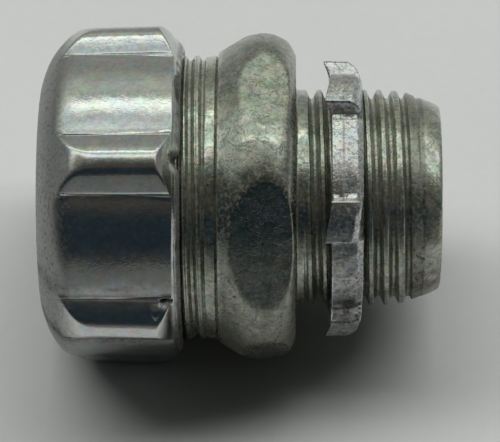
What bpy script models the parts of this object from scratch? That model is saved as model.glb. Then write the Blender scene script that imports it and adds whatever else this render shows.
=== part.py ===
"""Threadless compression connector for 3/4 trade size rigid steel conduit, lying on its side.

The fitting runs along X.  The conduit enters the compression nut at -X, and the male thread at +X
goes through the knockout of a box, where the locknut holds it.  Four pieces come apart on a bench:

  fitting_body      gland thread, six-sided collar, box-side male thread and the through bore
  compression_nut   domed nut with six raised ridges, screwed on the gland thread
  compression_ring  split steel ring between the nut's seat and the body's mouth
  locknut           punched steel ring with six bent lugs, on the male thread

Sizes are in millimetres.  A station is a distance along the axis from the nut's open end.
The model's origin is on the axis, half way along.
"""
from math import acos, atan2, ceil, cos, hypot, pi, radians, sin

import bmesh
import bpy

MM = 0.001
TURN = 2 * pi

# Overall
LENGTH = 47.95           # open end of the nut to the nose of the male thread
STEPS = 40               # columns round the turned pieces
WELD = 0.0005            # points nearer than this are one point

# Threads, all right-handed about +X
GLAND_PITCH = 1.5875     # 16 threads per inch
BOX_PITCH = 25.4 / 14    # 14 threads per inch, straight pipe thread

# Compression nut
NUT_END = 17.2
NUT_BORE = 13.75         # the conduit passes here
NUT_ROUND = 19.33        # round flanks between the ridges
NUT_SIDE = 16.85         # distance of a ridge's flat side from the axis
NUT_SLOPE = radians(40)  # lean of a ridge's side from the tangent at its crest
NUT_DRAFT = 0.03         # growth of the ridges along the nut, behind the dome
# Outline of the domed end, as station and radius
DOME = (
    (0.0, 14.2), (0.3, 15.2), (0.8, 16.45), (1.5, 17.62), (2.5, 18.85), (3.5, 19.82), (4.5, 20.6), (5.5, 21.03),
    (7.2, 21.3),
)
NUT_CHAMFER = 14.1       # station where the turned chamfer meets the ridges
NUT_SEAT_FRONT = 1.4
NUT_MINOR = 16.6
NUT_MAJOR = 17.55
NUT_THREAD_START = 8.25  # the thread fades into a relief bore of its own major radius
NUT_THREAD_MOUTH = 17.75
RIDGE_ANGLE = radians(30)       # first ridge, measured from +Z towards -Y

# Compression ring
RING_FRONT = 2.07
RING_BACK = 9.63
RING_BORE = 13.65
RING_RADIUS = 15.6
RING_EDGE = 14.0         # outer radius of the two end faces
RING_SHOULDERS = (3.67, 6.85)
RING_SLIT = radians(12)
RING_SLIT_ANGLE = radians(75)

# Body, gland side
MOUTH = 8.65
MOUTH_RADIUS = 15.2
SOCKET_RADIUS = 13.6
SEAT_END = 11.4          # the seat's cone reaches the socket here
STOP = 28.25             # the conduit bottoms here
THROAT_RADIUS = 10.4
GLAND_MAJOR = 17.25
GLAND_MINOR = 16.25
GLAND_END = 19.8
GLAND_CREST = 18.8       # station of a crest at the top of the fitting

# Collar: a turned barrel cut by six flats, the opposite ones at the same distance from the axis
BARREL = ((21.38, 17.7), (23.1, 18.8), (24.6, 19.6), (26.73, 20.05), (28.4, 19.7), (29.6, 18.95), (30.36, 17.9))
SHOULDER = 30.58
SHOULDER_RADIUS = 17.3
FLAT_DISTANCES = (19.03, 18.35, 18.88)
FLAT_ANGLE = radians(0)         # first flat, measured from +Z towards -Y

# Body, box side
BOX_MAJOR = 13.12
BOX_MINOR = 12.0
BOX_PLAIN = 31.68        # the crest runs plain from the shoulder to here
BOX_END = 45.98
BOX_CREST = 40.88        # station of a crest at the top of the fitting
NOSE = ((47.4, 11.5), (LENGTH, 11.1))
NOSE_BORE = 10.7

# Locknut
LOCK_LEFT = 34.78
LOCK_FACE = ((13.75, 38.58), (15.0, 38.45), (16.2, 38.4), (17.15, 38.2))
LOCK_TIP = 13.4          # the thread's tips pass outside the male crests
LOCK_ROOT = 14.05
LOCK_RING = 15.0
LOCK_LUG = 17.15
LUG_COUNT = 6
LUG_ANGLE = radians(51.5)       # middle of one lug, measured from +Z towards -Y
LUG_HALF = radians(8.6)
LUG_BEND = 0.95          # how far a lug's trailing corner is bent towards the collar

# Thread sections as (part of a pitch, height from 0 at the root to 1 at the crest)
CREST_HALF = 1 / 16
ROOT_HALF = 1 / 8
MALE_SECTION = ((-CREST_HALF, 1), (CREST_HALF, 1), (0.5 - ROOT_HALF, 0), (0.5 + ROOT_HALF, 0))
FEMALE_HALF = 0.36       # half the tooth's width at its base
TOOTH_HALF = 0.063       # half the tooth's width at its tip
FEMALE_SECTION = (
    (-(0.5 - FEMALE_HALF), 1),
    (0.5 - FEMALE_HALF, 1),
    (0.5 - TOOTH_HALF, 0),
    (0.5 + TOOTH_HALF, 0),
)


def place(station, radius, angle):
    """World position of a point given round the axis; the angle runs from +Z towards -Y."""
    return ((station - LENGTH / 2) * MM, -radius * sin(angle) * MM, radius * cos(angle) * MM)


def apart(angle, centre, sector):
    """Signed angle from the nearest of the centres that repeat every sector."""
    return (angle - centre + sector / 2) % sector - sector / 2


class Skin:
    """One closed skin, made of strips of rows that go round the axis and meet in shared circles."""

    def __init__(self, angles):
        self.angles = sorted(a % TURN for a in angles)
        self.points = []
        self.known = {}
        self.faces = []

    def vertex(self, station, radius, angle):
        spot = place(station, radius, angle)
        key = tuple(round(c / (WELD * MM)) for c in spot)
        if key not in self.known:
            self.known[key] = len(self.points)
            self.points.append(spot)
        return self.known[key]

    def face(self, corners):
        loop = [c for i, c in enumerate(corners) if c != corners[i - 1]]
        if len(set(loop)) == len(loop) and len(loop) > 2:
            self.faces.append(loop)

    def strip(self, rows, lag=0):
        """Join rows of (station, radius).  A helix comes round `lag` rows further on."""
        grid = [[self.vertex(*p, a) for p, a in zip(row, self.angles)] for row in rows]
        last = len(rows) - 1
        for j in range(len(self.angles)):
            k = (j + 1) % len(self.angles)
            skip = 0 if k else lag
            for i in range(last):
                here, there = min(i + skip, last), min(i + 1 + skip, last)
                self.face((grid[i][j], grid[here][k], grid[there][k], grid[i + 1][j]))

    def turn(self, outline):
        """Turn an outline of (station, radius) points round the axis."""
        self.strip([[point] * len(self.angles) for point in outline])

    def thread(self, start, stop, pitch, crest, section, minor, major, slope):
        """A helical thread between two plain circles, each given as (station, radius)."""
        first = crest - pitch * (ceil((crest - start[0]) / pitch) + 1)
        rows = []
        for turn in range(ceil((stop[0] - start[0]) / pitch) + 3):
            for phase, height in section:
                row = []
                for angle in self.angles:
                    station = first + pitch * (turn + phase + angle / TURN)
                    station = min(max(station, start[0]), stop[0])
                    radius = minor + height * (major - minor)
                    for end, end_radius in (start, stop):
                        reach = slope * abs(station - end)
                        radius = min(max(radius, end_radius - reach), end_radius + reach)
                    row.append((station, radius))
                rows.append(row)
        self.strip(rows, lag=len(section))

    def build(self, name, material):
        return make_object(name, self.points, self.faces, material)


def make_object(name, points, faces, material):
    mesh = bpy.data.meshes.new(name)
    mesh.from_pydata(points, [], faces)
    shape = bmesh.new()
    shape.from_mesh(mesh)
    bmesh.ops.triangulate(shape, faces=[f for f in shape.faces if len(f.verts) == 4], quad_method="SHORT_EDGE")
    bmesh.ops.recalc_face_normals(shape, faces=shape.faces)
    shape.to_mesh(mesh)
    shape.free()
    mesh.shade_smooth()
    mesh.set_sharp_from_angle(angle=radians(28))
    mesh.materials.append(material)
    obj = bpy.data.objects.new(name, mesh)
    bpy.context.scene.collection.objects.link(obj)
    return obj


def metal(name, colour, roughness, metallic=1.0):
    material = bpy.data.materials.new(name)
    material.use_nodes = True
    shader = material.node_tree.nodes["Principled BSDF"]
    shader.inputs["Base Color"].default_value = (*colour, 1)
    shader.inputs["Metallic"].default_value = metallic
    shader.inputs["Roughness"].default_value = roughness
    return material


def round_columns():
    return [TURN * i / STEPS for i in range(STEPS)]


def build_body(material):
    skin = Skin(round_columns())
    gland_start = (MOUTH, GLAND_MINOR - 0.05)
    gland_stop = (GLAND_END, GLAND_MAJOR - 0.2)
    skin.turn(((MOUTH, MOUTH_RADIUS), gland_start))
    skin.thread(gland_start, gland_stop, GLAND_PITCH, GLAND_CREST, MALE_SECTION, GLAND_MINOR, GLAND_MAJOR, slope=1)
    skin.turn((gland_stop, *BARREL, (SHOULDER, SHOULDER_RADIUS), (SHOULDER, BOX_MAJOR), (BOX_PLAIN, BOX_MAJOR)))
    box_start = (BOX_PLAIN, BOX_MAJOR)
    box_stop = (BOX_END, BOX_MINOR)
    skin.thread(box_start, box_stop, BOX_PITCH, BOX_CREST, MALE_SECTION, BOX_MINOR, BOX_MAJOR, slope=0.6)
    skin.turn((
        box_stop,
        *NOSE,
        (LENGTH, NOSE_BORE),
        (LENGTH - 0.6, THROAT_RADIUS),
        (STOP, THROAT_RADIUS),
        (STOP, SOCKET_RADIUS),
        (SEAT_END, SOCKET_RADIUS),
        (MOUTH, MOUTH_RADIUS),
    ))
    body = skin.build("fitting_body", material)
    cut_flats(body)
    return body


def cut_flats(body):
    """Cut the collar's six flats with a ring that has a six-sided hole."""
    outside = 30.0
    left, right = BARREL[0][0] - 1, SHOULDER + 1
    points = []
    faces = []
    for k in range(6):
        near, far = FLAT_DISTANCES[k % 3], FLAT_DISTANCES[(k + 1) % 3]
        along = (far - near * cos(pi / 3)) / sin(pi / 3)
        corner = hypot(near, along)
        angle = FLAT_ANGLE + k * pi / 3 + atan2(along, near)
        for station, radius in ((left, corner), (left, outside), (right, outside), (right, corner)):
            points.append(place(station, radius, angle))
        here, there = 4 * k, 4 * ((k + 1) % 6)
        for side in range(4):
            step = (side + 1) % 4
            faces.append((here + side, here + step, there + step, there + side))
    cutter = make_object("flats_cutter", points, faces, body.data.materials[0])
    cutter.hide_render = True
    cutter.display_type = "WIRE"
    cut = body.modifiers.new("flats", "BOOLEAN")
    cut.operation = "DIFFERENCE"
    cut.solver = "EXACT"
    cut.object = cutter


def dome(station):
    """Radius of the nut's dome and of the ridges' crests behind it."""
    for (left, low), (right, high) in zip(DOME, DOME[1:]):
        if station <= right:
            return low + (high - low) * (station - left) / (right - left)
    return high + NUT_DRAFT * (station - right)


def nut_radius(station, angle):
    """Outside of the nut: round flanks with six ridges, inside the dome and the turned chamfer."""
    aside = abs(apart(angle, RIDGE_ANGLE, pi / 3))
    outline = max(NUT_ROUND, NUT_SIDE / cos(NUT_SLOPE - aside))
    chamfer = dome(NUT_CHAMFER) - max(0.0, station - NUT_CHAMFER)
    return min(dome(station), chamfer, outline)


def nut_columns():
    """Columns on each ridge's crest, rounding and foot, and evenly between the ridges."""
    foot = NUT_SLOPE - acos(NUT_SIDE / NUT_ROUND)
    rounding = radians(4.5)
    between = [foot + (pi / 3 - 2 * foot) * i / 4 for i in (1, 2, 3)]
    offsets = [-foot, -rounding, 0, rounding, foot, *between]
    return [RIDGE_ANGLE + k * pi / 3 + offset for k in range(6) for offset in offsets]


def build_nut(material):
    skin = Skin(nut_columns())
    stations = [station for station, _ in DOME] + [NUT_CHAMFER, 15.0, 16.0, NUT_END]
    rows = [[(s, nut_radius(s, a)) for a in skin.angles] for s in stations]
    skin.strip(rows)
    rim = nut_radius(NUT_END, 0)
    thread_stop = (NUT_END, NUT_THREAD_MOUTH)
    thread_start = (NUT_THREAD_START, NUT_MAJOR)
    skin.turn(((NUT_END, rim), thread_stop))
    skin.thread(
        thread_start, thread_stop, GLAND_PITCH, GLAND_CREST, FEMALE_SECTION, NUT_MINOR, NUT_MAJOR, slope=1
    )
    seat_back = NUT_SEAT_FRONT + NUT_MAJOR - NUT_BORE
    skin.turn((
        thread_start,
        (seat_back, NUT_MAJOR),
        (NUT_SEAT_FRONT, NUT_BORE),
        (0.35, NUT_BORE),
        DOME[0],
    ))
    return skin.build("compression_nut", material)


def build_ring(material):
    """A bevelled steel ring with a slit, so that the nut can squeeze it on the conduit."""
    front, back = RING_SHOULDERS
    section = (
        (RING_FRONT, RING_BORE),
        (RING_FRONT, RING_EDGE),
        (front, RING_RADIUS),
        (back, RING_RADIUS),
        (RING_BACK, RING_EDGE),
        (RING_BACK, RING_BORE),
    )
    count = len(section)
    spans = STEPS
    points = []
    for i in range(spans + 1):
        angle = RING_SLIT_ANGLE + RING_SLIT / 2 + (TURN - RING_SLIT) * i / spans
        points += [place(station, radius, angle) for station, radius in section]
    faces = [tuple(range(count)), tuple(range(count * spans, count * (spans + 1)))]
    for i in range(spans):
        for j in range(count):
            k = (j + 1) % count
            faces.append((i * count + j, i * count + k, (i + 1) * count + k, (i + 1) * count + j))
    return make_object("compression_ring", points, faces, material)


def lock_columns():
    """Columns beside both sides of each lug, across the lug and across the ring between lugs."""
    foot = LUG_HALF + radians(1)
    sector = TURN / LUG_COUNT
    between = [foot + (sector - 2 * foot) * i / 5 for i in (1, 2, 3, 4)]
    offsets = [-foot, -LUG_HALF, -LUG_HALF / 3, LUG_HALF / 3, LUG_HALF, foot, *between]
    return [LUG_ANGLE + k * sector + offset for k in range(LUG_COUNT) for offset in offsets]


def lock_point(station, radius, angle):
    """A point of the locknut's flat blank, moved to its outline and bent where it is on a lug."""
    aside = apart(angle, LUG_ANGLE, TURN / LUG_COUNT)
    on_lug = abs(aside) < LUG_HALF + WELD
    if not on_lug:
        return station, min(radius, LOCK_RING)
    bend = max(0.0, radius - LOCK_RING) / (LOCK_LUG - LOCK_RING)
    return station - LUG_BEND * bend * (0.5 + 0.5 * aside / LUG_HALF), radius


def build_locknut(material):
    skin = Skin(lock_columns())
    blank = [(LOCK_LEFT, 14.3), (LOCK_LEFT, LOCK_RING), (LOCK_LEFT, LOCK_LUG)]
    blank += [(station, radius) for radius, station in reversed(LOCK_FACE)]
    ring_face = dict(LOCK_FACE)[LOCK_RING]
    rows = []
    for station, radius in blank:
        row = []
        for angle in skin.angles:
            spot, reach = lock_point(station, radius, angle)
            if reach < radius and station > LOCK_LEFT:
                spot = ring_face
            row.append((spot, reach))
        rows.append(row)
    skin.strip(rows)
    left = (LOCK_LEFT, 14.3)
    right = (LOCK_FACE[0][1], LOCK_FACE[0][0])
    skin.turn((left, (LOCK_LEFT + 0.3, LOCK_ROOT)))
    skin.thread(
        (LOCK_LEFT + 0.3, LOCK_ROOT), right, BOX_PITCH, BOX_CREST, FEMALE_SECTION, LOCK_TIP, LOCK_ROOT, slope=1
    )
    return skin.build("locknut", material)


def main():
    for obj in list(bpy.data.objects):
        bpy.data.objects.remove(obj)
    body_zinc = metal("body_zinc", (0.50, 0.51, 0.49), 0.42)
    nut_zinc = metal("nut_zinc", (0.58, 0.59, 0.60), 0.30)
    ring_steel = metal("ring_steel", (0.42, 0.42, 0.43), 0.38)
    lock_zinc = metal("lock_zinc", (0.60, 0.60, 0.60), 0.33)
    build_body(body_zinc)
    build_nut(nut_zinc)
    build_ring(ring_steel)
    build_locknut(lock_zinc)


main()
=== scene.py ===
"""Looks of a compression connector for rigid conduit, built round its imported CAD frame.

Each of the four pieces gets a fine mesh of its own, on the CAD body of the same name.  All of them
are skins turned round the X axis, with a radius that depends on the station and on the angle.
A station is a distance in millimetres from the nut's open end.  An angle runs from +Z towards -Y.
"""

from itertools import product
from math import cos, pi, radians, sin

import bpy
import numpy as np
from mathutils import Matrix, Vector


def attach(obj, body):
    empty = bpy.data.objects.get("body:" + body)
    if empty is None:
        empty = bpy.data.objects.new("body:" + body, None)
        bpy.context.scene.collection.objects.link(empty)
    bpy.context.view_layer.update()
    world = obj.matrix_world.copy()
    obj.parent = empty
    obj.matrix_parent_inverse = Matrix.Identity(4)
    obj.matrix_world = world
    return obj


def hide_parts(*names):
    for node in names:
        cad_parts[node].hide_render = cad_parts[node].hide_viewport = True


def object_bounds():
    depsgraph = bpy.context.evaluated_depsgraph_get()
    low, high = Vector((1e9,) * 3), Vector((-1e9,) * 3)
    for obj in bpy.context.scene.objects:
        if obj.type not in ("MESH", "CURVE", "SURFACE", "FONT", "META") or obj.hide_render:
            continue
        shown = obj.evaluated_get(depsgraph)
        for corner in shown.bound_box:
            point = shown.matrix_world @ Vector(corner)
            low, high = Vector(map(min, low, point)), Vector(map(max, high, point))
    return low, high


MM = 0.001
TURN = 2 * pi

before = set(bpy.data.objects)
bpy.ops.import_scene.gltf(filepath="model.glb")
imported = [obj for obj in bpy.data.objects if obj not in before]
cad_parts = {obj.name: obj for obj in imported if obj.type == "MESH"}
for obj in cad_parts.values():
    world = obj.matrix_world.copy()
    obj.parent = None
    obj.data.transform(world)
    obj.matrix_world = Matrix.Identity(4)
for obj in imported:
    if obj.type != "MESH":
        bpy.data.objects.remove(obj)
cad_low, cad_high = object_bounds()
OPEN_END = cad_low.x / MM

# Threads, all right-handed.  A crest's station is where it passes the top.
GLAND_PITCH, GLAND_CREST = 1.5875, 18.80
BOX_PITCH, BOX_CREST = 25.4 / 14, 40.88
GLAND_ROOT, GLAND_ROOT_INSIDE, MALE_GLAND = 16.63, 16.33, 17.25
MALE_BOX_ROOT, MALE_BOX = 12.02, 13.12
FEMALE_GROOVE, FEMALE_RIDGE = 0.14, 0.063   # half widths, in parts of a pitch
ROWS_A_PITCH = 11

# Compression nut
DOME = (
    (0.0, 14.25), (0.3, 15.2), (0.8, 16.45), (1.5, 17.62), (2.5, 18.85), (3.5, 19.82), (4.5, 20.6),
    (5.5, 21.03), (6.5, 21.22), (7.5, 21.3), (10.5, 21.4), (14.2, 21.51), (18.0, 21.6),
)
CHAMFER = (
    (0.0, 24.0), (13.6, 21.95), (14.3, 21.42), (14.95, 20.85), (15.45, 20.25), (15.95, 19.45), (16.38, 19.0),
    (16.46, 18.9), (16.55, 18.84), (16.85, 18.35), (17.0, 18.0),
)
NUT_END = 17.0
NUT_BORE = 13.75
NUT_ROUND = 19.33
NUT_DRAFT = 0.03
DOME_END = 7.2
NUT_THREAD = 16.6           # smallest radius of its thread
NUT_THREAD_DEPTH = 0.95
NUT_THREAD_MOUTH = 17.75
NUT_THREAD_END = 8.3
RIDGE_SIDE = 16.42
RIDGE_SLOPE = radians(42.5)
RIDGE_CREST = 21.27
RIDGE_ROUNDING = 2.81
RIDGE_ARC = radians(5.29)   # where the rounded crest meets the straight side
RIDGE_FOOT = radians(10.65)
RIDGE_FIRST = radians(30)
RIM_NOTCH = 28.7            # degrees
RIM_CHIPS = 1.3             # length of rim that the chips disturb
RIM_INSIDE = 17.8
RIM_EDGE = 16.92            # where the outside gives way to the rim's face
GOUGE = (15.3, 80.3)        # station, and angle in degrees

# Body
BARREL = (
    (21.28, 17.65), (22.38, 18.32), (23.38, 18.92), (24.58, 19.57), (25.68, 19.88), (26.73, 20.04),
    (27.78, 19.9), (28.78, 19.47), (29.6, 18.93), (30.15, 18.15), (30.5, 17.3),
)
FLATS = (19.03, 18.35, 18.88, 19.03, 18.35, 18.88)
FLAT_LEAN = 0.075
MOUTH, MOUTH_RADIUS = 8.65, 15.2
GLAND_END = 19.9
RIM_GROOVE = 17.06          # groove just outside the nut's rim, darkened as a painted shadow of the gap under the rim
COLLAR_GROOVE = 21.22
COLLAR_EDGE = 30.46
DING, SECOND_DING = (25.4, 21.2), (28.0, 21.2)      # station, and angle in degrees
SHOULDER = 30.58
BOX_NECK = 13.1
BOX_END = 45.9
NOSE_END = 47.95
SOCKET = 13.6
STOP = 28.25
THROAT = 10.4
# Middle of the side that is darkened, partly dirt and partly painted shade.
LOWER_DIRT_AND_SHADE_SIDE = radians(108)
BODY_COLUMNS = 300

# Locknut
LOCK_LEFT = 34.78
LOCK_RIGHT = 38.58
LOCK_RING = 15.0
LOCK_THREAD = 13.4          # smallest radius of its thread
LUG_FIRST = radians(51.5)
LUG_HALF = radians(8.6)


# ---------------------------------------------------------------- shapes

def value_noise(x, y, z, size, seed):
    """Smooth noise from -1 to 1 whose features have about the given size in millimetres."""
    spot = np.stack(np.broadcast_arrays(x, y, z), -1) / size + 17.3 * seed
    cell = np.floor(spot).astype(np.int64)
    part = spot - cell
    part = part * part * (3 - 2 * part)
    total = np.zeros(part.shape[:-1])
    for corner in product((0, 1), repeat=3):
        key = cell + np.array(corner)
        mixed = key[..., 0] * 374761393 + key[..., 1] * 668265263 + key[..., 2] * 974634777 + seed * 362437
        mixed &= 0xFFFFFFFF
        mixed = ((mixed ^ (mixed >> 13)) * 1274126177) & 0xFFFFFFFF
        mixed ^= mixed >> 16
        weight = np.prod(np.where(corner, part, 1 - part), -1)
        total += weight * (mixed / 0x7FFFFFFF - 1)
    return total


def surface_noise(station, radius, angle, size, seed):
    """Value noise at a point given by its station, radius and angle."""
    return value_noise(station, radius * np.sin(angle), radius * np.cos(angle), size, seed)


def smooth_min(a, b, k):
    """The smaller of two values, with the change from one to the other rounded over k."""
    part = np.clip(0.5 + 0.5 * (b - a) / k, 0, 1)
    return b + (a - b) * part - k * part * (1 - part)


def step(low, high, value):
    """Smooth rise from 0 at low to 1 at high."""
    part = np.clip((value - low) / (high - low), 0, 1)
    return part * part * (3 - 2 * part)


def curve(table, value):
    """Smooth monotone curve through the points of a table."""
    xs, ys = np.array(table, float).T
    slopes = np.diff(ys) / np.diff(xs)
    ends = np.concatenate(([slopes[0]], np.zeros(len(xs) - 2), [slopes[-1]]))
    same = slopes[1:] * slopes[:-1] > 0
    sums = np.where(same, slopes[1:] + slopes[:-1], 1)
    ends[1:-1] = np.where(same, 2 * slopes[1:] * slopes[:-1] / sums, 0)
    value = np.clip(value, xs[0], xs[-1])
    i = np.clip(np.searchsorted(xs, value, side="right") - 1, 0, len(slopes) - 1)
    h = np.diff(xs)[i]
    t = (value - xs[i]) / h
    return (
        (2 * t**3 - 3 * t**2 + 1) * ys[i] + (t**3 - 2 * t**2 + t) * h * ends[i]
        + (3 * t**2 - 2 * t**3) * ys[i + 1] + (t**3 - t**2) * h * ends[i + 1]
    )


def apart(angle, centre, sector):
    """Signed angle from the nearest of the centres that repeat every sector."""
    return (angle - centre + sector / 2) % sector - sector / 2


def spot(station, angle, at_station, at_angle, length, breadth, radius=19.0):
    """1 at a spot's middle, 0 outside it.  Length is along the axis and breadth round it."""
    across = apart(angle, radians(at_angle), TURN) * radius
    return 1 - step(0.6, 1.0, np.hypot((station - at_station) / length, across / breadth))


def phase(station, angle, pitch, crest):
    """Part of a pitch from the nearest thread crest, from -0.5 to 0.5."""
    return (((station - crest) / pitch - angle / TURN) + 0.5) % 1 - 0.5


def thread_height(part, crest_half, root_half, rounding):
    """1 on a male thread's crest and 0 in its root."""
    line = np.clip((0.5 - root_half - np.abs(part)) / (0.5 - root_half - crest_half), 0, 1)
    return line + rounding * ((0.5 - 0.5 * np.cos(pi * line)) - line)


def filleted(points, size, steps=4):
    """An open outline of (station, radius) points with its inner corners rounded."""
    points = [np.array(p, float) for p in points]
    out = [points[0]]
    for before, here, after in zip(points, points[1:], points[2:]):
        first = here + (before - here) * min(0.45, size / np.linalg.norm(before - here))
        last = here + (after - here) * min(0.45, size / np.linalg.norm(after - here))
        for i in range(steps + 1):
            t = i / steps
            out.append(first * (1 - t) ** 2 + here * 2 * t * (1 - t) + last * t * t)
    out.append(points[-1])
    return out


def spaced(*spans):
    """Values from spans given as (start, stop, count); each span leaves out its stop."""
    return np.concatenate([np.linspace(a, b, n, endpoint=False) for a, b, n in spans])


def six_fold(first, *spans):
    """Angles round the axis in six like sectors.  The spans, in degrees, run both ways from a sector's middle."""
    half = spaced(*spans)
    sector = np.concatenate((-half[:0:-1], half, [30.0]))
    return np.concatenate([first + radians(60 * k) + np.radians(sector) for k in range(6)])


def band(value, middle, width, power=2):
    """1 at the middle, falling off on both sides."""
    return np.exp(-((value - middle) / width) ** power)


class Skin:
    """A closed skin: a loop of rows, each of them a ring of points round the axis."""

    def __init__(self, angles):
        self.angles = np.asarray(angles, float)
        self.rows = []

    def row(self, station, radius, dirt_and_shade=0.0, wear=0.0):
        ones = np.ones(len(self.angles))
        self.rows.append([station * ones, radius * ones, dirt_and_shade * ones, wear * ones])

    def outline(self, points, dirt_and_shade=0.0, wear=0.0):
        for station, radius in points:
            self.row(station, radius, dirt_and_shade, wear)

    def build(self, name, material, body):
        station, radius, dirt_and_shade, wear = np.array(self.rows).transpose(1, 0, 2)
        angle = self.angles[None, :]
        points = np.stack(((OPEN_END + station), -radius * np.sin(angle), radius * np.cos(angle)), -1) * MM
        rows, columns = station.shape
        index = np.arange(rows * columns).reshape(rows, columns)
        right, down = np.roll(index, -1, 1), np.roll(index, -1, 0)
        faces = np.stack((index, right, np.roll(down, -1, 1), down), -1).reshape(-1, 4)
        mesh = quad_mesh(name, points.reshape(-1, 3), faces)
        add_piece(mesh, material, body, dirt_and_shade.ravel(), wear.ravel())


def quad_mesh(name, points, faces):
    mesh = bpy.data.meshes.new(name)
    mesh.vertices.add(len(points))
    mesh.vertices.foreach_set("co", points.astype(np.float32).ravel())
    mesh.loops.add(len(faces) * 4)
    mesh.loops.foreach_set("vertex_index", faces.astype(np.int32).ravel())
    mesh.polygons.add(len(faces))
    mesh.polygons.foreach_set("loop_start", np.arange(0, len(faces) * 4, 4, dtype=np.int32))
    mesh.update(calc_edges=True)
    mesh.validate()
    return mesh


def add_object(mesh, material):
    mesh.materials.append(material)
    obj = bpy.data.objects.new(mesh.name, mesh)
    bpy.context.scene.collection.objects.link(obj)
    return obj


def add_piece(mesh, material, body, dirt_and_shade, wear):
    """Put a mesh on the body whose CAD solid it stands for, with its dirt, painted shade and wear at each point."""
    mesh.shade_smooth()
    for label, values in (("dirt_and_shade", dirt_and_shade), ("wear", wear)):
        attribute = mesh.attributes.new(label, "FLOAT", "POINT")
        attribute.data.foreach_set("value", np.clip(values, 0, 1).astype(np.float32))
    obj = add_object(mesh, material)
    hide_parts(body)
    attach(obj, body)


# ---------------------------------------------------------------- compression nut

def nut_section(station, angle):
    """Outside of the nut behind the dome: round flanks and six ridges with creased feet."""
    growth = NUT_DRAFT * (station - DOME_END)
    aside = np.abs(apart(angle, RIDGE_FIRST, pi / 3))
    centre = RIDGE_CREST - RIDGE_ROUNDING + growth
    arc = centre * np.cos(aside) + np.sqrt(np.maximum(RIDGE_ROUNDING**2 - (centre * np.sin(aside)) ** 2, 0.01))
    side = (RIDGE_SIDE + growth * cos(RIDGE_SLOPE)) / np.cos(RIDGE_SLOPE - aside)
    side = side + 0.035 * np.clip(1 - ((aside - radians(8.0)) / radians(2.65)) ** 2, 0, 1)
    ridge = np.where(aside < RIDGE_ARC, arc, side)
    lip = 0.06 * band(aside, RIDGE_FOOT + radians(0.45), radians(0.5))
    groove = -0.09 * band(aside, RIDGE_FOOT - radians(0.25), radians(0.28))
    strength = 0.55 + 0.45 * surface_noise(station, NUT_ROUND, angle, 3.0, 4)
    flank = NUT_ROUND + (lip * strength) * (aside > RIDGE_FOOT - radians(0.2))
    return np.maximum(flank, ridge) + groove * strength


def nut_outside(station, angle):
    """Outside of the nut from its open face to its rim, with its waves and marks."""
    aside = np.abs(apart(angle, RIDGE_FIRST, pi / 3))
    on_ridge = 1 - step(RIDGE_FOOT - radians(0.6), RIDGE_FOOT + radians(1.5), aside)
    radius = smooth_min(curve(DOME, station), nut_section(station, angle), 1.1 - 0.95 * on_ridge)
    radius = smooth_min(radius, curve(CHAMFER, station), 0.06)
    wave = sum(depth * surface_noise(station, radius, angle, size, seed)
               for depth, size, seed in ((0.035, 6.0, 1), (0.017, 2.2, 2), (0.005, 1.1, 5)))
    radius = radius + wave * (1 - step(13.8, 14.8, station))
    nick = spot(station, angle, 17.05, RIM_NOTCH, 0.8, 0.8) * 0.2
    rough = 1 + 0.4 * surface_noise(station, radius, angle, 0.6, 3)
    gouge = spot(station, angle, *GOUGE, 0.95, 0.5) * 0.5 * rough
    chip = spot(station, angle, 14.1, 82.7, 0.6, 0.75) * 0.22
    rag = spot(station, angle, 16.7, 356.0, 0.5, 1.6) * 0.35
    return radius - nick - gouge + chip - rag


def rim_chip(angle):
    """How far the nut's rim is chipped back, with one deep notch."""
    rim = 18.0
    arc = apart(angle, radians(RIM_NOTCH), TURN) * rim
    notch = 0.75 * band(arc, 0, 0.75) * (1 + 0.2 * surface_noise(0.0, rim, angle, 0.6, 43))
    return notch + 0.12 * np.clip(surface_noise(0.0, rim, angle, 1.3, 44), 0, 1)


def nut_dirt_and_shade(station, radius, angle):
    """Painted shade in the ridges' creases and the marks, dirt and painted shade on the rim, two bands of painted
    shade in front.
    """
    aside = np.abs(apart(angle, RIDGE_FIRST, pi / 3))
    # Painted shade in the creases at the ridges' feet.
    crease = band(aside, RIDGE_FOOT - radians(0.3), radians(0.3)) * step(2.2, 4.0, station)
    crease = crease * (1 - step(14.8, 15.4, station)) * (0.3 + 0.3 * surface_noise(station, radius, angle, 1.5, 9))
    # Painted shade in the gouge, the rim's notch and a torn spot.
    places = ((*GOUGE, 1.0, 0.55), (17.05, RIM_NOTCH, 1.0, 1.0), (16.7, 358.0, 0.45, 3.5))
    marks = [spot(station, angle, *place) for place in places]
    # Darker band on the rim's edge by the gap: partly dirt, partly painted shade.
    jagged = 0.10 * surface_noise(station, radius, angle, 1.0, 41)
    edge = step(16.36, 16.5, station + jagged) * (0.70 + 0.5 * surface_noise(station, radius, angle, 0.9, 42))
    # Two bands of painted shade on the side facing the camera, dimming what the metal mirrors there.
    low = 0.4 * band(apart(angle, radians(75.5), TURN), 0, radians(3.5))
    low = low + 0.6 * band(apart(angle, radians(102), TURN), 0, radians(4.5))
    low = low * (1 + 0.6 * surface_noise(station, radius, angle, 1.4, 45))
    return np.max([crease, *marks, edge, low], axis=0)


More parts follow.
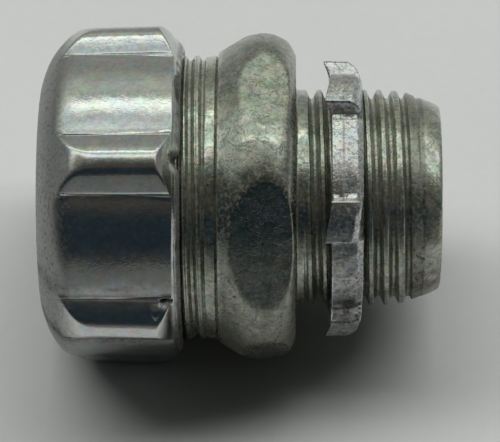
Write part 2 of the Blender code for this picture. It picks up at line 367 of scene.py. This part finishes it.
def build_nut(material):
    """The nut's opening, outside, rim, thread and inner cone, in that order."""
    skin = Skin(six_fold(RIDGE_FIRST, (0, 5, 7), (5, 9.3, 5), (9.3, 11.6, 14), (11.6, 30, 12)))
    angle = skin.angles
    # The opening is darkened: painted shade inside the bore.
    opening = [(1.9, 14.25), (1.4, NUT_BORE), (0.42, NUT_BORE), (0.05, 14.05), (0.0, 14.2)]
    skin.outline(filleted(opening, 0.15), dirt_and_shade=0.25)
    chips = rim_chip(angle)
    stations = spaced(
        (0.03, 0.8, 7), (0.8, 3.9, 22), (3.9, DOME_END, 15), (DOME_END, 13.4, 12), (13.4, 14.7, 9),
        (14.7, RIM_EDGE, 38),
    )
    for station in stations:
        radius = nut_outside(station, angle)
        place = station - np.maximum(0, station - NUT_END + RIM_CHIPS) / RIM_CHIPS * chips
        skin.row(place, radius, dirt_and_shade=nut_dirt_and_shade(station, radius, angle), wear=1 - step(2.0, 5.0, station))
    rim = nut_outside(RIM_EDGE, angle)
    # The rim's face is darkened: painted shade at the gap.
    for share in (0.25, 0.6, 1.0):
        skin.row(NUT_END - chips, rim - 0.06 + (RIM_INSIDE - rim) * share, dirt_and_shade=0.5)
    # The thread and inner cone are darkened: painted shade inside the nut.
    for station in np.arange(NUT_END - 0.03, NUT_THREAD_END, -GLAND_PITCH / ROWS_A_PITCH):
        height = thread_height(phase(station, angle, GLAND_PITCH, GLAND_CREST), FEMALE_GROOVE, FEMALE_RIDGE, 0.15)
        mouth = NUT_THREAD_MOUTH - (NUT_END - station)
        fade = NUT_THREAD + np.maximum(0, 9.2 - station)
        radius = np.maximum(np.maximum(NUT_THREAD + NUT_THREAD_DEPTH * height, mouth), fade)
        skin.row(np.minimum(station, NUT_END - chips), np.minimum(radius, NUT_THREAD_MOUTH), dirt_and_shade=0.8)
    skin.outline(filleted([(8.25, 17.55), (5.2, 17.55), (3.2, 15.55), (1.92, 14.27)], 0.2), dirt_and_shade=0.5)
    skin.build("nut_shell", material, "compression_nut")


# ---------------------------------------------------------------- body

def gland_thread(station, angle):
    """The gland's thread: a fine lap in each crest, a chamfered start, and shallower outside the nut."""
    part = phase(station, angle, GLAND_PITCH, GLAND_CREST)
    root = GLAND_ROOT_INSIDE + 0.3 * step(16.8, 17.1, station)
    radius = root + (MALE_GLAND - root) * thread_height(part, 0.13, 0.09, 0.3)
    radius = radius - 0.08 * band(part, -0.02, 0.04)
    return np.minimum(radius, 15.9 + (station - MOUTH) * 1.5)


def box_thread(station, angle):
    """The box side's thread, each crest with a fine lap in it."""
    part = phase(station, angle, BOX_PITCH, BOX_CREST)
    radius = MALE_BOX_ROOT + (MALE_BOX - MALE_BOX_ROOT) * thread_height(part, 0.12, 0.10, 0.3)
    return radius - 0.06 * band(part, 0.02, 0.04)


def collar(station, angle):
    """The barrel-shaped collar with its six flats."""
    radius = curve(BARREL, station)
    for k, apothem in enumerate(FLATS):
        aside = apart(angle, radians(60 * k), TURN)
        crown = 0.012 * (station - 26.7) ** 2 + FLAT_LEAN * (station - 27.2)
        flat = (apothem - crown) / np.maximum(np.cos(aside), 0.2)
        radius = np.where(np.abs(aside) < radians(50), smooth_min(radius, flat, 0.22), radius)
    return radius


def body_outside(station, angle):
    """Outside of the body, from the gland's mouth to the nose."""
    gland = gland_thread(station, angle)
    plain = 17.08 + 0.18 * step(19.7, 21.1, station)
    gland = gland + (plain - gland) * step(19.58, GLAND_END, station)
    gland = gland - 0.36 * band(station, COLLAR_GROOVE, 0.16)
    gland = gland - 0.6 * band(station, RIM_GROOVE, 0.12, 4)
    radius = gland + (collar(station, angle) - gland) * step(21.2, 21.3, station)
    cast = sum(depth * surface_noise(station, radius, angle, size, seed)
               for depth, size, seed in ((0.05, 4.0, 11), (0.022, 1.4, 12), (0.010, 0.7, 13)))
    on_collar = step(21.4, 22.4, station) * (1 - step(30.0, 30.4, station))
    radius = radius + cast * on_collar
    lip = spot(station, angle, 25.3, 20.9, 1.5, 0.9) * 0.04 + spot(station, angle, 28.0, 21.9, 1.2, 0.7) * 0.03
    ding = spot(station, angle, *DING, 1.6, 0.7)
    return radius + lip + ding * surface_noise(station, radius, angle, 0.9, 14) * 0.04


def lower_dirt_and_shade(station, angle):
    """Darkening low on the front side of the body: partly dirt, partly painted shade."""
    around = np.cos(np.clip(apart(angle, LOWER_DIRT_AND_SHADE_SIDE, TURN) * 1.7, -pi / 2, pi / 2))
    along = 0.52 + 0.35 * step(43, 45, station)
    cloud = 1 + 0.3 * surface_noise(station, 14.0, angle, 2.5, 31)
    return along * around * step(15.5, 17, station) * cloud


def gland_and_collar(skin):
    """The gland's thread, the plain neck behind it and the collar, as far as the collar's right edge."""
    angle = skin.angles
    stations = spaced(
        (8.75, 16.6, 50), (16.6, GLAND_END, 46), (GLAND_END, 20.9, 4), (20.9, 21.5, 10), (21.5, 29.4, 40),
        (29.4, COLLAR_EDGE, 12),
    )
    for station in stations:
        radius = body_outside(station, angle)
        # Dark in the laps, flanks and roots of the thread: partly dirt, partly painted shade.
        lap = 0.7 * band(phase(station, angle, GLAND_PITCH, GLAND_CREST), -0.02, 0.05)
        height = np.clip((radius - GLAND_ROOT) / (MALE_GLAND - GLAND_ROOT), 0, 1)
        flank = 0.75 * band(height, 0.35, 0.22) + 0.25 * (1 - height)
        depth = np.maximum(flank, lap) * (station < GLAND_END)
        # Painted shade in the collar's groove, and a painted shadow in the groove by the nut's rim.
        groove_shade = 0.8 * band(station, COLLAR_GROOVE, 0.13) + band(station, RIM_GROOVE, 0.15, 4)
        flat = step(0.03, 0.2, curve(BARREL, station) - radius) * (station > 22)
        # The two dings get no wear, so their colour stays light and glossy: a painted highlight.
        bright = np.maximum(spot(station, angle, *DING, 1.9, 0.7), spot(station, angle, *SECOND_DING, 1.2, 0.8))
        worn = (0.02 + 0.78 * step(21.3, 22.0, station)) * (1 - flat) * (1 - bright) - 0.2 * bright
        dirt_and_shade = np.maximum(np.maximum(depth, groove_shade), lower_dirt_and_shade(station, angle))
        skin.row(station, radius, dirt_and_shade=dirt_and_shade, wear=worn)


def shoulder(skin):
    """The collar's flat right face, down to the box side's thread."""
    edge = body_outside(COLLAR_EDGE, skin.angles)
    skin.row(SHOULDER - 0.04, edge - 0.1, wear=1)
    skin.row(SHOULDER, edge - 0.3, wear=0.6)
    # The shoulder's face and its corner by the thread are darkened: painted shade between the collar and the locknut.
    for radius in (16.2, 14.6, 13.45):
        skin.row(SHOULDER, radius, dirt_and_shade=0.35)
    skin.row(SHOULDER + 0.06, 13.22, dirt_and_shade=0.5)
    skin.row(SHOULDER + 0.2, 13.14, dirt_and_shade=0.2)


def box_side(skin):
    """The thread that takes the locknut, tapered and worn towards its end."""
    angle = skin.angles
    for station in spaced((30.9, 31.5, 3), (31.5, BOX_END, 108)):
        start = step(31.55, 31.95, station)
        radius = BOX_NECK + (box_thread(station, angle) - BOX_NECK) * start
        taper = 13.2 - np.maximum(0, station - 40.2) * 0.10 - np.maximum(0, station - 43.6) * 0.30
        radius = smooth_min(radius, taper, 0.08)
        # Dark in the laps, flanks and roots of the thread, less towards its worn end: partly dirt, partly painted
        # shade.
        lap = 0.35 * band(phase(station, angle, BOX_PITCH, BOX_CREST), 0.02, 0.04) * step(12.6, 12.9, radius)
        height = (radius - MALE_BOX_ROOT) / (MALE_BOX - MALE_BOX_ROOT)
        depth = 0.7 * band(height, 0.35, 0.2) + 0.25 * np.clip(1 - height, 0, 1)
        depth = np.maximum(depth * (1 - 0.8 * step(43.0, 44.5, station)), lap) * start
        worn = 0.15 + 0.85 * step(42.5, 44.5, station)
        skin.row(station, radius, dirt_and_shade=np.maximum(depth, lower_dirt_and_shade(station, angle)), wear=worn)


def build_body(material):
    """The body's outside from the gland to the nose, then its throat, stop and socket back to the mouth."""
    skin = Skin(TURN * np.arange(BODY_COLUMNS) / BODY_COLUMNS)
    # The mouth is darkened: painted shade inside the bore.
    skin.outline(filleted([(8.9, 14.98), (8.67, MOUTH_RADIUS), (MOUTH, 15.9)], 0.1, 2), dirt_and_shade=0.5)
    gland_and_collar(skin)
    shoulder(skin)
    box_side(skin)
    nose = [
        (45.95, 12.0), (46.9, 11.62), (47.55, 11.3), (NOSE_END, 11.0), (NOSE_END, 10.72), (47.35, THROAT),
        (40.0, THROAT),
    ]
    # The nose is darkened a little, more low on its front side: partly dirt, partly painted shade.
    skin.outline(filleted(nose, 0.16, 3), dirt_and_shade=0.22 + 0.6 * lower_dirt_and_shade(47.0, skin.angles))
    # The throat, stop and socket are darkened: painted shade inside the bore.
    skin.outline([(34.0, THROAT), (29.0, THROAT)], dirt_and_shade=0.3)
    skin.outline(filleted([(28.6, THROAT), (STOP, THROAT), (STOP, SOCKET), (27.6, SOCKET)], 0.12, 3), dirt_and_shade=0.4)
    skin.outline([(22.0, SOCKET), (16.0, SOCKET)], dirt_and_shade=0.3)
    skin.outline(filleted([(12.4, SOCKET), (11.4, SOCKET), (9.3, 14.8)], 0.3, 3), dirt_and_shade=0.3)
    skin.build("body_shell", material, "fitting_body")


# ---------------------------------------------------------------- locknut

def build_locknut(material):
    """A stamped ring with six bent lugs: its left face, sheared edge, right face and thread, in that order."""
    skin = Skin(six_fold(LUG_FIRST, (0, 7.2, 8), (7.2, 10.4, 9), (10.4, 30, 13)))
    angle = skin.angles
    aside = apart(angle, LUG_FIRST, pi / 3)
    lug = 1 - step(LUG_HALF - radians(0.3), LUG_HALF + radians(1.0), np.abs(aside))
    ripple = 0.06 * surface_noise(36.0, LOCK_RING, angle, 1.6, 21)
    torn_lip = band(np.abs(aside), LUG_HALF + radians(1.2), radians(0.5))
    reach = LOCK_RING + ripple + lug * (2.08 + 0.08 * np.cos(aside / LUG_HALF * 1.5))
    lean = np.clip(0.5 + 0.5 * aside / LUG_HALF, 0, 1.15)

    def bent(station, radius):
        """Move a point of the flat blank to where the bent lug has it."""
        share = np.clip((radius - 14.9) / 2.3, 0, 1.1)
        curl = 0.85 * share * lean**1.3 + 0.10 * share
        return station - curl * lug

    def face(radius):
        """Station of the right-hand face, which is slightly rolled over."""
        return LOCK_RIGHT - 0.10 * np.clip(radius - 13.75, 0, 1.2) - 0.03 * np.clip(radius - 14.95, 0, 3) ** 2.6

    hole = 14.35
    # The left face, towards the collar, is darkened: painted shade between the parts.
    for share in (0.0, 0.15, 0.4, 0.7, 0.9):
        radius = hole + (reach - 0.15 - hole) * share
        skin.row(bent(LOCK_LEFT, radius), radius, dirt_and_shade=0.35)
    skin.row(bent(LOCK_LEFT + 0.03, reach - 0.06), reach - 0.06, wear=0.5)
    skin.row(bent(LOCK_LEFT + 0.12, reach), reach, wear=0.5)
    right = face(reach)
    bevel = 0.55 - 0.25 * lug
    bevel_start = 0.80 + lug * (0.15 - 0.24 * (1 - lean) ** 2 - 0.10 * lean**4)
    shear = 0.38 + 0.03 * surface_noise(0.0, LOCK_RING, angle, 1.2, 22)
    scaly = 1 - step(radians(5), radians(22), np.abs(apart(angle, radians(92), TURN)))
    for share in np.linspace(0.06, 0.97, 30):
        station = LOCK_LEFT + (right - LOCK_LEFT) * share
        burr = 0.07 * band(share, shear, 0.03)
        torn = (0.05 + 0.07 * scaly) * surface_noise(station, LOCK_RING, angle, 0.8, 23) * step(0.4, 0.5, share)
        radius = reach - burr + torn - 0.05 * step(0.42, 0.5, share) - 0.12 * step(0.85, 1.0, share)
        radius = radius - bevel * np.clip((share - bevel_start) / (1 - bevel_start), 0, 1)
        ragged = 0.14 + 0.20 * surface_noise(station, LOCK_RING, angle, 0.9, 24)
        radius = radius + torn_lip * ragged * (1 - step(0.7, 0.9, share))
        # A dark line along the shear.
        dirt_and_shade = 0.55 * band(share, shear, 0.035) * (1 - lug)
        stain = spot(station, angle, 36.95, 79.0, 0.6, 0.75, LOCK_RING) * (1 - lug)
        dirt_and_shade = np.maximum(np.maximum(dirt_and_shade, stain * 0.7), 1.5 * lower_dirt_and_shade(36.0, angle))
        skin.row(bent(station, radius), radius, dirt_and_shade=dirt_and_shade, wear=share)
    inner = reach - 0.2 - bevel
    for share in (0.05, 0.15, 0.3, 0.5, 0.7, 0.88):
        radius = inner + (14.0 - inner) * share
        skin.row(bent(face(radius), radius), radius, wear=1 - share)
    skin.row(38.55, 13.85)
    # The thread is darkened: painted shade inside the locknut.
    for station in np.arange(38.48, 35.13, -BOX_PITCH / ROWS_A_PITCH):
        height = thread_height(phase(station, angle, BOX_PITCH, BOX_CREST), FEMALE_GROOVE, FEMALE_RIDGE, 0.15)
        skin.row(station, LOCK_THREAD + 0.65 * height, dirt_and_shade=0.6)
    skin.row(35.03, 14.07, dirt_and_shade=0.6)
    skin.build("locknut_shell", material, "locknut")


# ---------------------------------------------------------------- compression ring

def build_ring(material):
    """The split ring: its bevelled section swept round, with a closed face on each side of the slit."""
    inside, outside, edge = 13.65, 15.6, 14.0
    corners = [
        (5.0, inside), (2.07, inside), (2.07, edge), (3.67, outside), (6.85, outside), (9.63, edge), (9.63, inside),
        (5.0, inside),
    ]
    section = np.array(filleted(corners, 0.18, 4)[:-1])
    slit, middle = radians(12), radians(75)
    angles = middle + slit / 2 + (TURN - slit) * np.linspace(0, 1, 181)
    count = len(section)
    station, radius = section[:, 0][None, :], section[:, 1][None, :]
    angle = angles[:, None]
    place = np.broadcast_arrays(OPEN_END + station, -radius * np.sin(angle), radius * np.cos(angle))
    points = np.stack(place, -1).reshape(-1, 3) * MM
    index = np.arange(len(angles) * count).reshape(len(angles), count)
    here, there = index[:-1], index[1:]
    faces = np.stack((here, np.roll(here, -1, 1), np.roll(there, -1, 1), there), -1).reshape(-1, 4).tolist()
    faces.append(index[0][::-1].tolist())
    faces.append(index[-1].tolist())
    mesh = bpy.data.meshes.new("ring_shell")
    mesh.from_pydata(points.tolist(), [], faces)
    ones = np.ones(len(points))
    # The whole ring is darkened: painted shade inside the nut.
    add_piece(mesh, material, "compression_ring", 0.35 * ones, 0.3 * ones)
    mesh.set_sharp_from_angle(angle=radians(35))


# ---------------------------------------------------------------- materials

BARE = (0.10, 0.10, 0.09, 1)        # dark grey of cracks and worn places


class Graph:
    """A node tree that is written as calls."""

    def __init__(self, tree):
        self.tree = tree
        tree.nodes.clear()

    def add(self, kind, settings=None, **inputs):
        """A new node.  Inputs go by name, with _ for a space, or by number, as i0 or i1."""
        node = self.tree.nodes.new("ShaderNode" + kind)
        for key, value in (settings or {}).items():
            setattr(node, key, value)
        for key, value in inputs.items():
            name = key.replace("_", " ")
            self.put(node.inputs[int(name[1:])] if name[1:].isdigit() else node.inputs[name], value)
        return node

    def put(self, socket, value):
        if isinstance(value, bpy.types.NodeSocket):
            self.tree.links.new(value, socket)
        else:
            socket.default_value = value

    def math(self, operation, a, b=0.0, clamp=False):
        return self.add("Math", {"operation": operation, "use_clamp": clamp}, i0=a, i1=b).outputs[0]

    def surface(self, bump, **inputs):
        shader = self.add("BsdfPrincipled", None, Normal=bump.outputs["Normal"], **inputs)
        self.add("OutputMaterial", None, Surface=shader.outputs["BSDF"])

    def noise(self, vector, scale, detail=3.0, roughness=0.55):
        node = self.add("TexNoise", None, Vector=vector, Scale=scale, Detail=detail, Roughness=roughness)
        return node.outputs["Fac"]

    def remap(self, value, low, high, to_low=0.0, to_high=1.0):
        node = self.add("MapRange", None, Value=value, From_Min=low, From_Max=high, To_Min=to_low, To_Max=to_high)
        return node.outputs["Result"]

    def mix(self, factor, a, b, blend="MIX"):
        node = self.add("Mix", {"data_type": "RGBA", "blend_type": blend}, i0=factor)
        self.put(node.inputs[6], a)
        self.put(node.inputs[7], b)
        return node.outputs[2]


def new_material(name):
    material = bpy.data.materials.new(name)
    material.use_nodes = True
    return material, Graph(material.node_tree)


def zinc(name, light, dull, dirt_and_shade_colour, smooth, rough, mottle, relief, lines, worn_gloss, worn_dark, cracks, sheen):
    """Zinc-plated metal: mottled, with turning lines, dirt and painted shade in its creases and hollows, and dull
    worn areas.

    Light and dull are the two tones of the mottling, and smooth and rough their roughness.  Mottle is
    how fine it is.  Relief, lines and cracks say how strong the bumps, turning lines and dark web are.
    Wear adds worn_gloss to the roughness and darkens by worn_dark.  Sheen is how strong the film's tint is.
    """
    material, g = new_material(name)
    place = g.add("TexCoord").outputs["Object"]
    point = g.add("Mapping", None, Vector=place, Scale=(1000, 1000, 1000)).outputs["Vector"]
    turned = g.add("Mapping", None, Vector=place, Scale=(9000, 260, 260)).outputs["Vector"]
    dirt_and_shade_mark = g.add("Attribute", {"attribute_name": "dirt_and_shade"}).outputs["Fac"]
    wear_mark = g.add("Attribute", {"attribute_name": "wear"}).outputs["Fac"]
    broad = g.noise(point, 0.35 * mottle, 4.0, 0.6)
    fine = g.noise(point, 1.6 * mottle, 4.0, 0.6)
    grain = g.noise(point, 6.0, 2.0, 0.5)
    line = g.noise(turned, 1.0, 2.0, 0.5)
    hue = g.noise(point, 0.55, 2.0, 0.5)

    patch = g.math("ADD", g.math("MULTIPLY", broad, 0.5), g.math("MULTIPLY", fine, 0.5))
    spread = g.remap(patch, 0.40, 0.60)
    tone = g.mix(spread, (*dull, 1), (*light, 1))
    web = g.math("ABSOLUTE", g.math("SUBTRACT", g.noise(point, 0.5 * mottle, 3.0, 0.6), 0.5))
    web = g.math("MULTIPLY", g.remap(web, 0.0, 0.035, 1.0, 0.0), cracks)
    tone = g.mix(g.math("MULTIPLY", web, 0.6), tone, BARE)
    cool, warm = (0.965, 1.0, 1.01, 1), (1.03, 0.995, 0.96, 1)
    tint = g.mix(g.remap(hue, 0.42, 0.58), cool, warm)
    tone = g.mix(1.0, tone, tint, "MULTIPLY")

    tone = g.mix(g.math("MULTIPLY", wear_mark, worn_dark), tone, BARE)
    speck = g.remap(g.noise(point, 2.4, 3.0, 0.6), 0.54, 0.66)
    speck = g.math("MULTIPLY", speck, g.remap(wear_mark, 0.0, 1.0, 0.03, 0.6))
    film = g.add("TexNoise", None, Vector=point, Scale=0.75, Detail=2.0, Roughness=0.5).outputs["Color"]
    film = g.add("VectorMath", {"operation": "SCALE"}, i0=film, Scale=2.0).outputs[0]
    filmed = g.mix(1.0, tone, film, "MULTIPLY")
    tone = g.mix(g.remap(wear_mark, 0.0, 1.0, sheen, 0.3 * sheen), tone, filmed)
    # The attribute mixed in here carries dirt and also painted shade in creases, hollows and gaps between parts.
    dark_share = g.math("MULTIPLY", dirt_and_shade_mark, g.remap(g.noise(point, 1.1, 4.0, 0.65), 0.25, 0.65, 0.35, 1.15))
    dark_share = g.math("ADD", dark_share, speck, clamp=True)
    tone = g.mix(dark_share, tone, (*dirt_and_shade_colour, 1))

    gloss = g.remap(fine, 0.35, 0.65, smooth, rough)
    gloss = g.math("ADD", gloss, g.math("MULTIPLY", wear_mark, worn_gloss))
    gloss = g.math("ADD", gloss, g.math("MULTIPLY", dark_share, 0.30), clamp=True)
    metal = g.remap(dark_share, 0.0, 1.0, 1.0, 0.6)

    bumps = g.math("MULTIPLY", g.math("ADD", fine, g.math("MULTIPLY", broad, 1.2)), relief)
    bumps = g.math("ADD", bumps, g.math("MULTIPLY", grain, 0.12))
    bumps = g.math("ADD", bumps, g.math("MULTIPLY", line, lines))
    bumps = g.math("SUBTRACT", bumps, g.math("MULTIPLY", web, 0.2))
    bump = g.add("Bump", None, Height=bumps, Strength=0.8, Distance=0.00006)

    g.surface(bump, Base_Color=tone, Roughness=gloss, Metallic=metal)
    return material


# ---------------------------------------------------------------- studio

# What the metal mirrors, as (angle, colour): round the X axis, and near its two ends.
SKY = (
    (-180, (0.30, 0.31, 0.30)), (-100, (0.24, 0.25, 0.24)), (-86, (0.36, 0.37, 0.36)), (-74, (0.30, 0.31, 0.29)),
    (-63, (0.31, 0.32, 0.29)), (-54, (0.42, 0.44, 0.39)), (-45, (0.56, 0.60, 0.52)), (-34.5, (0.38, 0.43, 0.38)),
    (-32, (1.55, 1.65, 1.50)), (-26, (1.55, 1.65, 1.50)), (-21.5, (0.60, 0.66, 0.64)), (-15, (0.56, 0.61, 0.59)),
    (-9, (0.95, 1.05, 0.99)), (0, (1.25, 1.30, 1.22)), (7, (0.62, 0.62, 0.58)), (13, (0.22, 0.23, 0.20)),
    (22, (0.12, 0.13, 0.11)), (30, (0.075, 0.07, 0.06)), (47, (0.065, 0.06, 0.055)), (51, (0.035, 0.04, 0.04)),
    (58, (0.018, 0.030, 0.038)), (80, (0.020, 0.030, 0.038)), (89, (0.06, 0.06, 0.06)), (110, (0.20, 0.20, 0.19)),
    (180, (0.30, 0.31, 0.30)),
)
WALL = (
    (-180, (0.20, 0.21, 0.20)), (8, (0.20, 0.21, 0.20)), (32, (0.035, 0.042, 0.042)), (86, (0.035, 0.042, 0.042)),
    (104, (0.18, 0.19, 0.18)), (180, (0.20, 0.21, 0.20)),
)
SKY_PEAK = 1.6          # the ramps hold colours as parts of this
DIFFUSE_SHARE = 0.2
BACKDROP = (0.62, 0.64, 0.62, 1)


def build_world():
    """Surroundings for the metal to mirror.  Diffuse surfaces get little of their light, and they stay unseen."""
    world = bpy.data.worlds.new("studio")
    bpy.context.scene.world = world
    world.use_nodes = True
    g = Graph(world.node_tree)
    way = g.add("SeparateXYZ", None, Vector=g.add("TexCoord").outputs["Generated"])
    x, y, z = way.outputs
    around = g.math("ARCTAN2", g.math("MULTIPLY", y, -1.0), z)
    part = g.math("ADD", g.math("DIVIDE", around, TURN), 0.5)
    shades = []
    for table in (SKY, WALL):
        ramp = g.add("ValToRGB", None, Fac=part)
        elements = ramp.color_ramp.elements
        while len(elements) > 1:
            elements.remove(elements[-1])
        for i, (angle, colour) in enumerate(table):
            element = elements[0] if i == 0 else elements.new((angle + 180) / 360)
            element.position = (angle + 180) / 360
            element.color = (*[c / SKY_PEAK for c in colour], 1)
        shades.append(ramp.outputs["Color"])
    light = g.mix(g.remap(g.math("ABSOLUTE", x), 0.80, 0.93), *shades)
    seen = g.add("Background", None, Color=BACKDROP, Strength=1.0)
    shed = g.add("Background", None, Color=light, Strength=SKY_PEAK)
    soft = g.add("Background", None, Color=light, Strength=DIFFUSE_SHARE * SKY_PEAK)
    path = g.add("LightPath")
    lit = g.add("MixShader", None, Fac=path.outputs["Is Diffuse Ray"], i1=shed.outputs[0], i2=soft.outputs[0])
    joined = g.add("MixShader", None, Fac=path.outputs["Is Camera Ray"], i1=lit.outputs[0], i2=seen.outputs[0])
    g.add("OutputWorld", None, Surface=joined.outputs[0])


def build_floor(level):
    """A pale sheet of paper with a faint grain."""
    size = 1.6
    mesh = bpy.data.meshes.new("floor")
    corners = [(-size, -size, level), (size, -size, level), (size, size, level), (-size, size, level)]
    mesh.from_pydata(corners, [], [(0, 1, 2, 3)])
    material, g = new_material("paper")
    place = g.add("TexCoord").outputs["Object"]
    grain = g.noise(place, 900.0, 3.0, 0.6)
    cloud = g.noise(place, 9.0, 2.0, 0.5)
    shade = g.math("ADD", g.math("MULTIPLY", grain, 0.3), g.math("MULTIPLY", cloud, 0.7))
    tone = g.mix(g.remap(shade, 0.3, 0.7), (0.43, 0.44, 0.43, 1), (0.47, 0.48, 0.47, 1))
    bump = g.add("Bump", None, Height=grain, Strength=0.3, Distance=0.00003)
    g.surface(bump, Base_Color=tone, Roughness=0.75)
    floor = add_object(mesh, material)


def build_shade():
    """Slats that dim the floor in front of the object.  They are neither seen nor mirrored."""
    near, pitch, slat, count, width, height = -0.046, 0.004, 0.0026, 120, 0.5, 0.085
    corners = []
    for k in range(count):
        edge = near - pitch * k
        outline = ((-width, edge - slat), (width, edge - slat), (width, edge), (-width, edge))
        corners += [(x, y, height) for x, y in outline]
    mesh = bpy.data.meshes.new("shade")
    mesh.from_pydata(corners, [], [tuple(range(4 * k, 4 * k + 4)) for k in range(count)])
    material = bpy.data.materials.new("shade")
    material.use_nodes = True
    material.node_tree.nodes["Principled BSDF"].inputs["Base Color"].default_value = (0.05, 0.05, 0.05, 1)
    shade = add_object(mesh, material)
    shade.visible_camera = False
    shade.visible_glossy = False


def build_lamp():
    """A long strip lamp above and behind the object.  It is neither seen nor mirrored."""
    place, target = Vector((0.0, 0.11, 0.48)), Vector((0.0, 0.0, 0.0))
    lamp = bpy.data.lights.new("strip_lamp", "AREA")
    lamp.shape = "RECTANGLE"
    lamp.size, lamp.size_y = 1.1, 0.15
    lamp.energy = 4.85
    obj = bpy.data.objects.new("strip_lamp", lamp)
    obj.location = place
    obj.rotation_euler = (target - place).to_track_quat("-Z", "Y").to_euler()
    obj.visible_glossy = False
    obj.visible_camera = False
    bpy.context.scene.collection.objects.link(obj)


def build_camera():
    """The photographer's view: nearly square on to the axis, looking down at 49 degrees."""
    azimuth, elevation, distance = radians(1.1), radians(49), 0.3692
    away = Vector((sin(azimuth) * cos(elevation), -cos(azimuth) * cos(elevation), sin(elevation)))
    right = (Vector((1, 0, 0)) - away * away.x).normalized()
    up = away.cross(right)
    target = Vector((1.02 * MM, 0, 0)) - up * 2.9 * MM
    camera = bpy.data.cameras.new("camera")
    camera.sensor_width = 36
    camera.lens = 218
    camera.clip_start = 0.01
    obj = bpy.data.objects.new("camera", camera)
    obj.matrix_world = Matrix((right, up, away)).transposed().to_4x4()
    obj.location = target + away * distance
    bpy.context.scene.collection.objects.link(obj)
    bpy.context.scene.camera = obj


def main():
    olive = (0.085, 0.080, 0.052)
    dark = (0.060, 0.060, 0.055)
    nut_zinc = zinc(
        "nut_zinc", light=(0.66, 0.67, 0.67), dull=(0.56, 0.57, 0.57), dirt_and_shade_colour=dark, smooth=0.07, rough=0.16,
        mottle=1.0, relief=0.30, lines=0.03, worn_gloss=0.30, worn_dark=0.62, cracks=0.28, sheen=0.18)
    body_zinc = zinc(
        "body_zinc", light=(0.72, 0.74, 0.66), dull=(0.38, 0.40, 0.34), dirt_and_shade_colour=olive, smooth=0.07, rough=0.18,
        mottle=1.5, relief=0.34, lines=0.06, worn_gloss=0.16, worn_dark=0.42, cracks=0.9, sheen=0.17)
    lock_zinc = zinc(
        "lock_zinc", light=(0.82, 0.82, 0.83), dull=(0.58, 0.59, 0.60), dirt_and_shade_colour=dark, smooth=0.12, rough=0.30,
        mottle=1.6, relief=1.2, lines=0.03, worn_gloss=0.03, worn_dark=0.0, cracks=1.0, sheen=0.22)
    ring_steel = zinc(
        "ring_steel", light=(0.50, 0.50, 0.51), dull=(0.40, 0.40, 0.41), dirt_and_shade_colour=dark, smooth=0.28, rough=0.42,
        mottle=1.0, relief=0.2, lines=0.25, worn_gloss=0.05, worn_dark=0.1, cracks=0.0, sheen=0.1)
    build_nut(nut_zinc)
    build_body(body_zinc)
    build_locknut(lock_zinc)
    build_ring(ring_steel)
    build_world()
    build_floor(cad_low.z - 0.00002)
    build_lamp()
    build_shade()
    build_camera()
    bpy.context.scene.view_settings.view_transform = "Standard"
    bpy.context.scene.view_settings.look = "None"


main()
